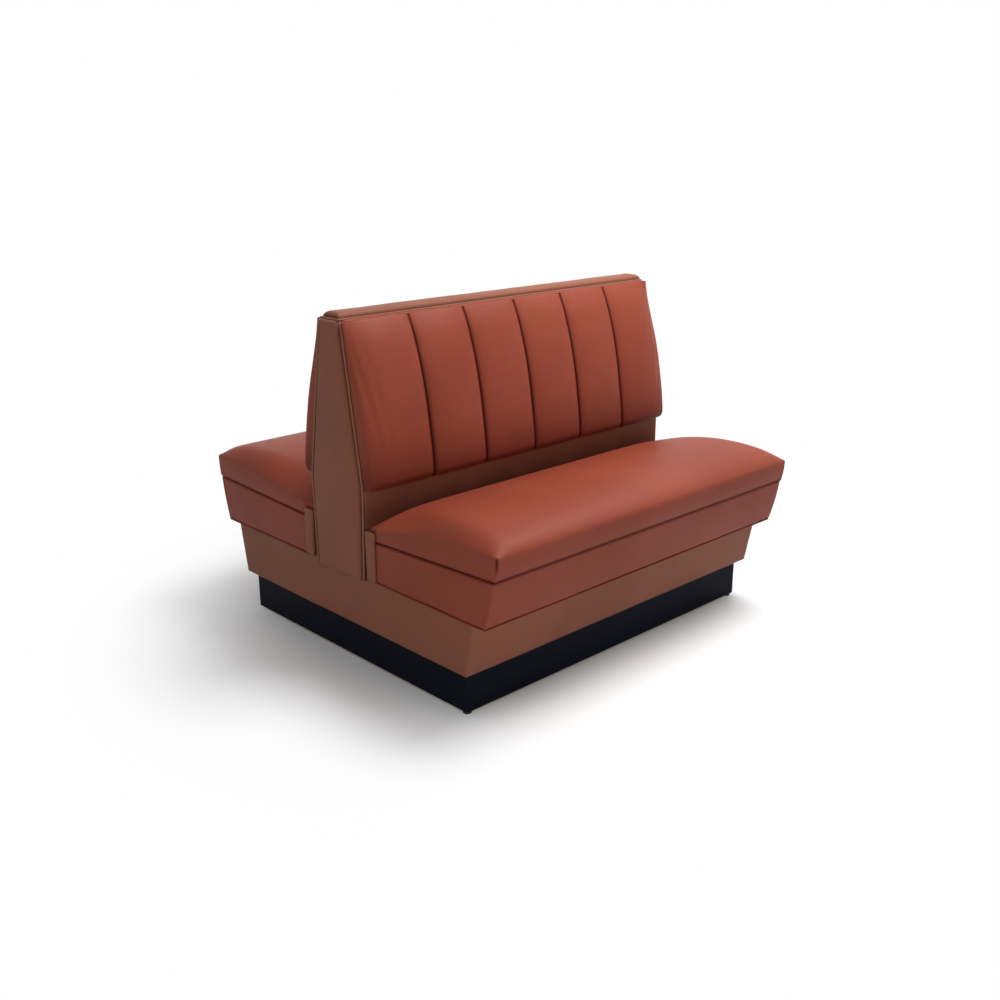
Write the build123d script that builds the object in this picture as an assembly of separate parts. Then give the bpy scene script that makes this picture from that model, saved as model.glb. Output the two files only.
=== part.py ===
from build123d import *
from math import atan2, cos, degrees, radians, sin, tan
import os

# A double restaurant booth: two upholstered benches, back to back on one carcass.
# Lengths are millimetres and angles are degrees. X runs along the booth and Z is up.
# The origin is on the floor under the middle. The front bench faces -Y, and the rear
# bench is its mirror image. A depth is a distance from the middle plane between them.

# Whole booth
booth_length = 1143.0
soft_gap = 0.3

# Kick base: lumber rails with a black laminate facing
kick_height = 108.0
kick_end_inset = 19.5
kick_front_inset = 20.0
kick_rail_thickness = 38.0
kick_brace_spacing = 380.0
laminate_thickness = 1.0

# Levelling glides and their threaded inserts
glide_stand = 8.0
glide_radius = 11.0
glide_pad_height = 5.0
glide_edge_radius = 2.5
glide_hex_radius = 7.0
glide_stem_radius = 3.0
glide_stem_length = 28.0
glide_face_inset = 13.0
glide_end_inset_front = 13.0
glide_end_inset_rear = 30.0
insert_wall = 1.8
insert_length = 15.0
thread_clearance = 0.1

# Carcass: plywood profile frames, panels and boards
body_foot_depth = 940.0
body_flare = 28.0
body_height = 146.0
frame_thickness = 18.0
panel_thickness = 12.0
vinyl_thickness = 1.5

# Seat box: it overhangs the body and pitches back
apron_overhang = 44.0
apron_flare = 27.5
apron_height = 119.5
apron_thickness = 6.5
seat_pitch = 2.1
lower_welt_radius = 2.5
upper_welt_radius = 2.0
welt_corner_radius = 10.0
cleat_width = 25.0
cleat_height = 40.0
back_rail_thickness = 38.0

# A-shaped back between the benches
back_foot_depth = 220.0
back_head_depth = 92.0
back_height = 406.0
top_rail_height = 47.0
crumb_height = 103.0
crumb_tuck = 18.0
crumb_thickness = 4.5

# End panels with their piping, and the filler strips beside them
end_panel_thickness = 14.0
end_panel_drop = 12.0
end_panel_gap = 10.0
end_panel_wrap = 4.0
end_panel_edge_radius = 6.0
end_welt_radius = 3.0
end_welt_inset = 4.0
end_welt_foot_inset = 12.0
end_welt_stand = 7.0
end_welt_tail = 1.6
end_welt_knee_radius = 60.0
filler_depth = 148.0
filler_thickness = 11.5
filler_edge_radius = 3.0

# Cap rail along the top
cap_height = 17.4
cap_width = 62.0
cap_end_inset = 10.5
cap_edge_radius = 10.0
cap_board_height = 7.0
cap_wrap = 6.0
cap_welt_radius = 2.5

# Back pads: six sewn channels over a foam slab on a board
channel_count = 6
channel_pitch = 182.0
pad_thickness = 54.0
pad_cover_wall = 6.0
pad_board_thickness = 6.0
pad_height_shares = (0.0, 0.015, 0.05, 0.13, 0.25, 0.40, 0.54, 0.66, 0.76, 0.85, 0.93, 1.0)
pad_crest_shares = (0.44, 0.63, 0.80, 0.93, 0.99, 1.0, 0.97, 0.90, 0.80, 0.65, 0.42, 0.13)
pad_seam_shares = (0.35, 0.52, 0.62, 0.71, 0.75, 0.77, 0.74, 0.67, 0.57, 0.44, 0.28, 0.11)
pad_end_shares = (0.33, 0.49, 0.60, 0.65, 0.67, 0.67, 0.60, 0.45, 0.30, 0.18, 0.12, 0.10)
pad_foam_height_shares = (0.05, 0.22, 0.40, 0.56, 0.68)
pad_board_foot_share = 0.02
pad_board_head_share = 0.74

# Seat cushions: crowned covers over foam on a board
seat_board_thickness = 9.0
seat_board_setback = 7.5
seat_board_end_inset = 16.5
seat_wrap = 6.0
foam_rear_thickness = 8.3
foam_crest_thickness = 80.0
crest_setback = 170.0
front_roll_drop = 21.0
front_roll_setback = 12.0
seat_front_reach = 2.5
seat_crown = 10.0
rear_swell = 6.5
rear_crown_share = 1.4
seat_end_roll = 45.0
seat_end_drop = 37.0
end_nose_share = 0.1
foam_inset_shares = (0.0, 0.33, 0.89)
foam_fall_shares = (0.85, 0.45, 0.0)
end_roll_steps = 4
crown_steps = 4

# Wood screws
screw_radius = 2.2
screw_head_radius = 4.2
screw_head_height = 2.4
screw_clearance = 0.15
deck_screw_length = 45.0
deck_screw_end_inset = 88.0
deck_screw_rows = 4
pad_screw_length = 16.0
pad_screw_column_shares = (-0.80, -0.30, 0.30, 0.80)
pad_screw_row_shares = (0.16, 0.58)
cut_overrun = 5.0

# Places along the length, from the middle
body_half = booth_length / 2 - end_panel_thickness
frame_outer = body_half - vinyl_thickness
frame_inner = frame_outer - frame_thickness
kick_half = body_half - kick_end_inset
rail_half = kick_half - laminate_thickness
soft_half = body_half + apron_thickness

# Heights
body_bottom = glide_stand + kick_height
body_top = body_bottom + body_height
box_top = body_top + apron_height
deck_top = body_bottom + panel_thickness
insert_radius = glide_stem_radius + thread_clearance + insert_wall

# Depths
body_foot = body_foot_depth / 2
body_head = body_foot + body_flare
apron_foot = body_head + apron_overhang
apron_head = apron_foot + apron_flare
kick_depth_half = body_foot - kick_front_inset
back_foot = back_foot_depth / 2
back_head = back_head_depth / 2
board_front = apron_head - seat_board_setback
cushion_rear = back_foot + crumb_thickness + soft_gap
board_rear = cushion_rear + seat_wrap / 2
cleat_front = back_foot + cleat_width


def seat_line(depth):
    """Height of the pitched seat plane, on which the seat boards rest."""
    return box_top - (apron_head - depth) * tan(radians(seat_pitch))


crumb_bottom = seat_line(back_foot) + seat_board_thickness + foam_rear_thickness + seat_wrap
pad_foot = crumb_bottom + crumb_height
frame_top = pad_foot + back_height
end_panel_foot = body_top - end_panel_drop
cleat_foot = seat_line(back_foot) - cleat_height


def body_face(height):
    """Depth of the brown body, which leans out as it rises."""
    return body_foot + body_flare * (height - body_bottom) / body_height


def apron_face(height):
    """Depth of the red apron, which leans out as it rises."""
    return apron_foot + apron_flare * (height - body_top) / apron_height


def back_face(height):
    """Depth of the leaning back, on which the pads are fixed."""
    return back_foot - (back_foot - back_head) * (height - pad_foot) / back_height


def apron_meets_seat(inset, drop):
    """Where a line behind the apron's face meets the seat plane, lowered by a drop."""
    rise = apron_flare / apron_height
    pitch = tan(radians(seat_pitch))
    depth_at_foot = apron_foot - inset - rise * body_top
    height = (box_top - drop - (apron_head - depth_at_foot) * pitch) / (1 - rise * pitch)
    return depth_at_foot + rise * height, height


def board(outline, x_low, x_high):
    """A piece of constant section along the booth, from its (depth, height) outline."""
    points = [(-depth, height) for depth, height in outline]
    face = Plane.YZ.offset(x_low) * make_face(Polyline(*points, close=True))
    return extrude(face, amount=x_high - x_low, dir=(1, 0, 0))


def both_benches(half_outline):
    """A closed outline from its half, foot first, mirrored to the rear bench."""
    return half_outline + [(-depth, height) for depth, height in reversed(half_outline)]


def block(x_low, x_high, y_low, y_high, z_low, z_high):
    """A square-cut block between its lowest and highest corners."""
    middle = Pos((x_low + x_high) / 2, (y_low + y_high) / 2, (z_low + z_high) / 2)
    return middle * Box(x_high - x_low, y_high - y_low, z_high - z_low)


def rear(piece):
    """The same piece on the rear bench."""
    return mirror(piece, about=Plane.XZ)


def right(piece):
    """The same piece at the other end of the booth."""
    return mirror(piece, about=Plane.YZ)


def upright(radius, z_low, z_high):
    """A round bar or bore along Z."""
    return Pos(0, 0, (z_low + z_high) / 2) * Cylinder(radius, z_high - z_low)


def wood_screw(length, grow):
    """A countersunk screw that points down from its head. Grown a little, it is its own hole."""
    shank = upright(screw_radius + grow, -length - grow, 0)
    head = Pos(0, 0, -screw_head_height / 2) * Cone(
        screw_radius + grow, screw_head_radius + grow, screw_head_height
    )
    return shank + head


def glide_places(end_inset):
    """Middle of the two glides of the front rail."""
    x = kick_half - end_inset
    y = -(kick_depth_half - glide_face_inset)
    return [(-x, y), (x, y)]


def kick_rail(end_inset):
    """Long rail of the base, bored from below for two inserts and the stems above them."""
    outer = -(kick_depth_half - laminate_thickness)
    rail = block(-rail_half, rail_half, outer, outer + kick_rail_thickness, glide_stand, body_bottom)
    for x, y in glide_places(end_inset):
        rail -= Pos(x, y) * upright(insert_radius, 0, glide_stand + insert_length)
        stem_top = glide_stand + glide_stem_length
        rail -= Pos(x, y) * upright(glide_stem_radius + thread_clearance * 2, 0, stem_top)
    for place in deck_screw_places():
        rail -= place * wood_screw(deck_screw_length, screw_clearance)
    return rail


def deck_screw_places():
    """Heads of the screws that hold the deck down on the front rail."""
    y = -(kick_depth_half - laminate_thickness - kick_rail_thickness / 2)
    first = -(frame_inner - deck_screw_end_inset)
    spacing = -2 * first / (deck_screw_rows - 1)
    return [Pos(first + spacing * i, y, deck_top) for i in range(deck_screw_rows)]


def kick_end_rail():
    """Short rail of the base at the left end, between the long rails."""
    y = kick_depth_half - laminate_thickness - kick_rail_thickness
    return block(-rail_half, -rail_half + kick_rail_thickness, -y, y, glide_stand, body_bottom)


def kick_braces():
    """Two cross braces between the long rails."""
    y = kick_depth_half - laminate_thickness - kick_rail_thickness
    braces = []
    for side in (-1, 1):
        x = side * kick_brace_spacing / 2
        half = kick_rail_thickness / 2
        braces.append(block(x - half, x + half, -y, y, glide_stand, body_bottom))
    return Compound(children=braces)


def kick_laminate():
    """Four black laminate sheets, glued on the outside of the rails."""
    depth = kick_depth_half
    sheet = laminate_thickness
    front = block(-kick_half, kick_half, -depth, -depth + sheet, glide_stand, body_bottom)
    end = block(-kick_half, -rail_half, -depth + sheet, depth - sheet, glide_stand, body_bottom)
    return Compound(children=[front, rear(front), end, right(end)])


def glide_insert():
    """Threaded insert, pressed into the rail from below."""
    tube = upright(insert_radius, glide_stand, glide_stand + insert_length)
    return tube - upright(glide_stem_radius + thread_clearance, 0, body_bottom)


def glide():
    """Levelling glide: a rounded foot, a hexagon to turn it by, and its threaded stem."""
    foot = upright(glide_radius, 0, glide_pad_height)
    foot = fillet(foot.edges().sort_by(Axis.Z)[0], glide_edge_radius)
    top = glide_stand - soft_gap
    hexagon = extrude(
        Pos(0, 0, glide_pad_height) * RegularPolygon(glide_hex_radius, 6), amount=top - glide_pad_height
    )
    stem_top = glide_stand + glide_stem_length - soft_gap * 2
    return foot + hexagon + upright(glide_stem_radius, top - soft_gap, stem_top)


def glide_inserts():
    """The four inserts."""
    front = [Pos(x, y) * glide_insert() for x, y in glide_places(glide_end_inset_front)]
    back = [rear(Pos(x, y) * glide_insert()) for x, y in glide_places(glide_end_inset_rear)]
    return Compound(children=front + back)


def bottom_deck():
    """Floor of the carcass, with its front and rear edges cut to the lean of the body."""
    inset = vinyl_thickness + panel_thickness
    half = [(body_face(body_bottom) - inset, body_bottom), (body_face(deck_top) - inset, deck_top)]
    deck = board(both_benches(half), -frame_inner, frame_inner)
    for place in deck_screw_places():
        hole = place * wood_screw(deck_screw_length, screw_clearance)
        deck -= hole
        deck -= rear(hole)
    return deck


def deck_screws():
    """The screws through the deck."""
    front = [place * wood_screw(deck_screw_length, 0) for place in deck_screw_places()]
    return Compound(children=front + [rear(screw) for screw in front])


def end_outline():
    """Outline of an end frame: body, overhanging seat box and A-shaped back in one sheet."""
    half = [
        (body_foot - vinyl_thickness, body_bottom),
        (body_head - vinyl_thickness, body_top),
        (apron_foot - apron_thickness, body_top),
        apron_meets_seat(apron_thickness, 0),
        (back_foot, seat_line(back_foot)),
        (back_foot, pad_foot),
        (back_head, frame_top),
    ]
    return both_benches(half)


def end_frame():
    """Plywood frame at the left end."""
    return board(end_outline(), -frame_outer, -frame_inner)


def end_cover():
    """Brown vinyl on the outside of the left end frame."""
    return board(end_outline(), -body_half, -frame_outer)


def middle_frame():
    """Plywood divider in the middle, notched for the rails and boards that pass it."""
    panel_inset = vinyl_thickness + panel_thickness
    rail_inset = apron_thickness + frame_thickness
    strip_top = body_top + panel_thickness
    rail_back = back_foot - back_rail_thickness
    top_rail_foot = frame_top - top_rail_height
    half = [
        (body_face(deck_top) - panel_inset, deck_top),
        (body_head - panel_inset, body_top),
        (body_head - panel_inset, strip_top),
        (apron_face(strip_top) - rail_inset, strip_top),
        apron_meets_seat(rail_inset, 0),
        (cleat_front, seat_line(cleat_front)),
        (cleat_front, cleat_foot),
        (rail_back, cleat_foot),
        (rail_back, pad_foot),
        (back_face(pad_foot) - panel_thickness, pad_foot),
        (back_face(top_rail_foot) - panel_thickness, top_rail_foot),
    ]
    return board(both_benches(half), -frame_thickness / 2, frame_thickness / 2)


def body_panel():
    """Leaning plywood front of the body, between the end frames."""
    outer = vinyl_thickness
    inner = vinyl_thickness + panel_thickness
    outline = [
        (body_foot - outer, body_bottom),
        (body_head - outer, body_top),
        (body_head - inner, body_top),
        (body_foot - inner, body_bottom),
    ]
    return board(outline, -frame_inner, frame_inner)


def body_cover():
    """Brown vinyl over the body's front, lapping the edges of the end frames."""
    outline = [
        (body_foot, body_bottom),
        (body_head, body_top),
        (body_head - vinyl_thickness, body_top),
        (body_foot - vinyl_thickness, body_bottom),
    ]
    return board(outline, -body_half, body_half)


def overhang_board():
    """Strip that closes the overhang from below, behind the seat rail."""
    inner = body_head - vinyl_thickness - panel_thickness
    rail_inset = apron_thickness + frame_thickness
    top = body_top + panel_thickness
    outline = [
        (inner, body_top),
        (apron_face(body_top) - rail_inset, body_top),
        (apron_face(top) - rail_inset, top),
        (inner, top),
    ]
    return board(outline, -frame_inner, frame_inner)


def seat_rail():
    """Front rail of the seat box, under the front edge of the seat board."""
    inset = apron_thickness + frame_thickness
    outline = [
        (apron_foot - apron_thickness, body_top),
        apron_meets_seat(apron_thickness, 0),
        apron_meets_seat(inset, 0),
        (apron_foot - inset, body_top),
    ]
    return board(outline, -frame_inner, frame_inner)


def back_rail():
    """Rail at the foot of the back, which carries the crumb strip and the back board."""
    inner = back_foot - back_rail_thickness
    return block(-frame_inner, frame_inner, -back_foot, -inner, cleat_foot, pad_foot)


def seat_cleat():
    """Cleat on the back rail, under the rear edge of the seat board."""
    outline = [
        (back_foot, cleat_foot),
        (cleat_front, cleat_foot),
        (cleat_front, seat_line(cleat_front)),
        (back_foot, seat_line(back_foot)),
    ]
    return board(outline, -frame_inner, frame_inner)


def back_board():
    """Leaning plywood board that the back pad is screwed to."""
    outline = [
        (back_foot, pad_foot),
        (back_head, frame_top),
        (back_head - panel_thickness, frame_top),
        (back_foot - panel_thickness, pad_foot),
    ]
    panel = board(outline, -frame_inner, frame_inner)
    for place in pad_screw_places():
        panel -= place * wood_screw(pad_screw_length, screw_clearance)
    return panel


def top_rail():
    """Rail between the heads of the back boards, under the cap."""
    foot = frame_top - top_rail_height
    half = [(back_face(foot) - panel_thickness, foot), (back_head - panel_thickness, frame_top)]
    return board(both_benches(half), -frame_inner, frame_inner)


def apron():
    """Red padded front of the seat box."""
    drop = 2 * upper_welt_radius / cos(radians(seat_pitch))
    outline = [
        (apron_foot, body_top),
        apron_meets_seat(0, drop),
        apron_meets_seat(apron_thickness, drop),
        (apron_foot - apron_thickness, body_top),
    ]
    return board(outline, -soft_half, soft_half)


def apron_end():
    """Red padded left end of the seat box, from the filler strip to the front apron."""
    drop = 2 * upper_welt_radius / cos(radians(seat_pitch))
    outline = [
        (filler_depth, body_top),
        (apron_foot - apron_thickness, body_top),
        apron_meets_seat(apron_thickness, drop),
        (filler_depth, seat_line(filler_depth) - drop),
    ]
    return board(outline, -soft_half, -body_half)


def cord(path, radius):
    """A welt cord along a path."""
    return sweep((path ^ 0) * Circle(radius), path=path)


def lower_welt():
    """Dark welt round the foot of the apron, hung under its edge."""
    x = body_half + lower_welt_radius
    y = apron_foot - lower_welt_radius
    z = body_top - lower_welt_radius
    corners = [(-x, -filler_depth, z), (-x, -y, z), (x, -y, z), (x, -filler_depth, z)]
    return cord(FilletPolyline(*corners, radius=welt_corner_radius), lower_welt_radius)


def upper_welt():
    """Red welt round the head of the apron, just under the cushion."""
    pitch = radians(seat_pitch)
    seat_plane = Plane(
        origin=(0, -apron_head, box_top), x_dir=(1, 0, 0), z_dir=(0, sin(pitch), cos(pitch))
    )
    x = soft_half - upper_welt_radius
    front = upper_welt_radius
    end = (apron_head - filler_depth) / cos(pitch)
    flat = [(-x, end), (-x, front), (x, front), (x, end)]
    corners = [seat_plane.from_local_coords((a, b, -upper_welt_radius)) for a, b in flat]
    return cord(FilletPolyline(*corners, radius=welt_corner_radius), upper_welt_radius)


def end_welt_points(outset):
    """Route of the piping down one edge of an end panel, set out from its own line."""
    return [
        (back_head - end_welt_inset + outset, frame_top),
        (back_foot - end_welt_inset + outset, pad_foot),
        (back_foot - end_welt_foot_inset + outset, end_panel_foot),
    ]


def end_panel_outline(inset):
    """Outline of an end panel, inside its piping."""
    half = [(depth, height) for depth, height in end_welt_points(-end_panel_gap - inset)]
    half[2] = (half[2][0], half[2][1] + inset)
    half.reverse()
    return both_benches(half)


def end_panel_board():
    """Board under the padding of the left end panel."""
    face = body_half + end_panel_thickness - end_panel_wrap
    return board(end_panel_outline(end_panel_wrap), -face, -body_half)


def end_panel_cover():
    """Brown padded cover of the left end panel, wrapped round its board."""
    face = body_half + end_panel_thickness
    cover = board(end_panel_outline(0), -face, -body_half)
    rim = cover.faces().sort_by(Axis.X)[0].edges()
    cover = fillet(rim, end_panel_edge_radius)
    return cover - end_panel_board()


def end_welt():
    """Piping beside the left end panel, held by the tail of its strip."""
    x = -(body_half + end_welt_stand)
    corners = [(x, -depth, height) for depth, height in end_welt_points(0)]
    path = FilletPolyline(*corners, radius=end_welt_knee_radius)
    half_tail = end_welt_tail / 2
    outline = end_welt_points(-half_tail) + end_welt_points(half_tail)[::-1]
    return cord(path, end_welt_radius) + board(outline, x, -body_half)


def filler():
    """Brown padded strip between the piping and the apron, at the left end."""
    clear = end_welt_radius + soft_gap
    foot, knee = end_welt_points(clear)[2], end_welt_points(clear)[1]

    def rear_edge(height):
        return foot[0] + (knee[0] - foot[0]) * (height - foot[1]) / (knee[1] - foot[1])

    outline = [
        (rear_edge(body_top), body_top),
        (filler_depth, body_top),
        (filler_depth, crumb_bottom),
        (rear_edge(crumb_bottom), crumb_bottom),
    ]
    face = body_half + filler_thickness
    strip = board(outline, -face, -body_half)
    return fillet(strip.faces().sort_by(Axis.X)[0].edges(), filler_edge_radius)


def crumb_strip():
    """Brown strip between the cushion and the back pad, let in between the fillers below."""
    strip = block(
        -soft_half, soft_half, -back_foot - crumb_thickness, -back_foot, crumb_bottom - crumb_tuck, pad_foot
    )
    corner = block(
        -soft_half - cut_overrun,
        -body_half + soft_gap,
        -back_foot - crumb_thickness - cut_overrun,
        -back_foot + cut_overrun,
        crumb_bottom - crumb_tuck - cut_overrun,
        crumb_bottom + soft_gap,
    )
    return strip - corner - right(corner)


def cap_board():
    """Wooden strip inside the cap."""
    x = booth_length / 2 - cap_end_inset - cap_wrap
    y = cap_width / 2 - cap_wrap
    return block(-x, x, -y, y, frame_top, frame_top + cap_board_height)


def cap_cover():
    """Brown padded cap, rounded along its upper edges."""
    x = booth_length / 2 - cap_end_inset
    y = cap_width / 2
    cover = block(-x, x, -y, y, frame_top, frame_top + cap_height)
    cover = fillet(cover.faces().sort_by(Axis.Z)[-1].edges(), cap_edge_radius)
    upright_edges = cover.edges().filter_by(Axis.Z)
    cover = fillet(upright_edges, cap_welt_radius)
    return cover - cap_board()


def cap_welt():
    """Piping round the foot of the cap."""
    x = booth_length / 2 - cap_end_inset + cap_welt_radius
    y = cap_width / 2 + cap_welt_radius
    z = frame_top + cap_welt_radius
    turn = cap_welt_radius * 2
    loop = Pos(0, 0, z) * RectangleRounded(2 * x, 2 * y, turn).wire()
    return sweep((loop ^ 0) * Circle(cap_welt_radius), path=loop)


def seam_places():
    """Places of the pad's edges and sewn seams along the booth."""
    seams = [channel_pitch * (i - channel_count / 2) for i in range(1, channel_count)]
    return [-soft_half] + seams + [soft_half]


def pad_section(height_share, crest_share, seam_share, end_share):
    """Level section of a back pad: a flat back and one arc for each channel."""
    z = pad_foot + back_height * height_share
    back = -back_face(z)
    seam = back - pad_thickness * seam_share
    crest = back - pad_thickness * crest_share
    end = back - pad_thickness * end_share
    stops = [(x, end if abs(x) == soft_half else seam, z) for x in seam_places()]
    edges = [Line((-soft_half, back, z), (soft_half, back, z))]
    edges.append(Line((soft_half, back, z), (soft_half, end, z)))
    for low, high in reversed(list(zip(stops, stops[1:]))):
        edges.append(ThreePointArc(high, ((low[0] + high[0]) / 2, crest, z), low))
    edges.append(Line((-soft_half, end, z), (-soft_half, back, z)))
    return make_face(edges)


def pad_form():
    """The whole back pad, swelling from its head to its foot, with its sewn channels."""
    rows = zip(pad_height_shares, pad_crest_shares, pad_seam_shares, pad_end_shares)
    return loft([pad_section(*row) for row in rows], ruled=True)


def pad_head_wrap():
    """The cover's vinyl over the top edge of the back board, as far as the cap's piping."""
    front = back_head + pad_thickness * pad_end_shares[-1]
    rear_edge = cap_width / 2 + cap_welt_radius * 2
    return block(-frame_outer, frame_outer, -front, -rear_edge, frame_top, frame_top + vinyl_thickness)


def end_depth(height_share):
    """How far a pad's ends stand off the back board, at a share of the pad's height."""
    stations = list(zip(pad_height_shares, pad_end_shares))
    for (low, thin), (high, thick) in zip(stations, stations[1:]):
        if height_share <= high:
            return pad_thickness * (thin + (thick - thin) * (height_share - low) / (high - low))
    return pad_thickness * pad_end_shares[-1]


def pad_board_form():
    """The board inside a back pad, before it is drilled."""
    low = pad_foot + back_height * pad_board_foot_share
    high = pad_foot + back_height * pad_board_head_share
    outline = [
        (back_face(low), low),
        (back_face(low) + pad_board_thickness, low),
        (back_face(high) + pad_board_thickness, high),
        (back_face(high), high),
    ]
    inset = pad_cover_wall
    return board(outline, -soft_half + inset, soft_half - inset)


def pad_screw_places():
    """Heads of the screws through the back board into the pad's board, from behind."""
    lean = atan2(back_foot - back_head, back_height)
    places = []
    for share in pad_screw_row_shares:
        z = pad_foot + back_height * share
        y = -back_face(z)
        head = (y + panel_thickness, z - panel_thickness * tan(lean))
        for column in pad_screw_column_shares:
            turn = Rot(X=90 - degrees(lean))
            places.append(Pos(frame_inner * column, *head) * turn)
    return places


def pad_board():
    """Plywood board of a back pad, drilled for its screws."""
    panel = pad_board_form()
    for place in pad_screw_places():
        panel -= place * wood_screw(pad_screw_length, screw_clearance)
    return panel


def pad_screws():
    """The screws that hold the two back pads."""
    front = [place * wood_screw(pad_screw_length, 0) for place in pad_screw_places()]
    return Compound(children=front + [rear(screw) for screw in front])


def pad_foam():
    """Foam slab of a back pad, on its board and clear of the sewn seams and ends."""
    front = []
    behind = []
    for share in pad_foam_height_shares:
        z = pad_foot + back_height * share
        front.append((back_face(z) + end_depth(share) - pad_cover_wall, z))
        behind.append((back_face(z) + pad_board_thickness, z))
    inset = pad_cover_wall
    return board(front + behind[::-1], -soft_half + inset, soft_half - inset)


def pad_cover():
    """Channelled cover of a back pad, over its foam and board."""
    return pad_form() + pad_head_wrap() - pad_board_form() - pad_foam()


def cushion_section(x, fall, rise, inset):
    """Section of a seat cushion across the bench: rear edge, crown, front roll and flat foot."""
    foot_lift = seat_board_thickness if inset else soft_gap
    rear_rise = rear_swell + rise * rear_crown_share - fall * seat_wrap
    rear_top = seat_board_thickness + foam_rear_thickness + seat_wrap - inset + rear_rise
    crest_top = seat_board_thickness + foam_crest_thickness + seat_wrap - inset + rise - fall * seat_end_drop
    crest_depth = apron_head - crest_setback
    roll_depth = apron_head - front_roll_setback - inset - fall * seat_wrap
    roll_top = crest_top - front_roll_drop * (1 - fall * (1 - end_nose_share))
    foot_depth = apron_head + seat_front_reach - inset * 2 - fall * seat_wrap
    rear_depth = cushion_rear + inset
    front_foot = (-foot_depth, seat_line(foot_depth) + foot_lift)
    rear_foot = (-rear_depth, seat_line(rear_depth) + foot_lift)
    rear_head = (-rear_depth, seat_line(back_foot) + rear_top)
    crest = (-crest_depth, seat_line(crest_depth) + crest_top)
    roll = (-roll_depth, seat_line(crest_depth) + roll_top)
    top = TangentArc(crest, rear_head, tangent=(1, 0))
    slope = TangentArc(crest, roll, tangent=(-1, 0))
    front = TangentArc(roll, front_foot, tangent=slope % 1)
    edges = [Line(rear_foot, rear_head), top, slope, front, Line(front_foot, rear_foot)]
    return Plane.YZ.offset(x) * make_face(edges)


def crown_rise(x):
    """Rise of the crown at a place along the bench, highest in the middle."""
    rolled = booth_length / 2 - seat_end_roll
    return seat_crown * (1 - (x / rolled) ** 2)


def cushion_middle():
    """The crowned length of a seat cushion between its end rolls."""
    rolled = booth_length / 2 - seat_end_roll
    places = [rolled * (2 * i / crown_steps - 1) for i in range(crown_steps + 1)]
    return loft([cushion_section(x, 0, crown_rise(x), 0) for x in places])


def cushion_end():
    """The left end of a seat cushion, rolled over and drawn in towards its end face."""
    sections = []
    for i in range(end_roll_steps + 1):
        turn = radians(90 * i / end_roll_steps)
        x = -booth_length / 2 + seat_end_roll * (1 - cos(turn))
        sections.append(cushion_section(x, 1 - sin(turn), 0, 0))
    return loft(sections, ruled=True)


def seat_foam():
    """Crowned foam block of a seat cushion, on its board, with its ends cut down to the rolls."""
    half = booth_length / 2 - seat_board_end_inset
    ends = [(half - seat_end_roll * share, fall) for share, fall in zip(foam_inset_shares, foam_fall_shares)]
    sections = [cushion_section(-x, fall, 0, seat_wrap) for x, fall in ends]
    sections.append(cushion_section(0, 0, seat_crown, seat_wrap))
    sections += [cushion_section(x, fall, 0, seat_wrap) for x, fall in reversed(ends)]
    return loft(sections, ruled=True)


def seat_board():
    """Plywood board of a seat cushion, resting on the rails, frames and cleat."""
    outline = [
        (board_rear, seat_line(board_rear)),
        (board_front, seat_line(board_front)),
        (board_front, seat_line(board_front) + seat_board_thickness),
        (board_rear, seat_line(board_rear) + seat_board_thickness),
    ]
    half = booth_length / 2 - seat_board_end_inset
    return board(outline, -half, half)


def cushion_form():
    """The whole seat cushion: crowned, with its ends drawn in and its rear corners let in."""
    form = cushion_middle() + cushion_end() + right(cushion_end())
    corner = block(
        -booth_length / 2 - cut_overrun,
        -body_half + soft_gap,
        -filler_depth - soft_gap,
        -cushion_rear + cut_overrun,
        box_top - apron_height,
        pad_foot,
    )
    return form - corner - right(corner)


def seat_cover():
    """Cover of a seat cushion, over its foam and round the edges of its board."""
    return cushion_form() - seat_board() - seat_foam()


def glide_at(end_inset, side):
    """One glide of the front rail: side 0 is left and side 1 is right."""
    x, y = glide_places(end_inset)[side]
    return Pos(x, y) * glide()


def pair(piece):
    """A piece and its mirror image on the rear bench, as separate solids of one node."""
    return Compound(children=[piece, rear(piece)])


def ends(piece):
    """A pair at both ends of the booth, as four separate solids of one node."""
    return Compound(children=[piece, rear(piece), right(piece), right(rear(piece))])


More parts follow.
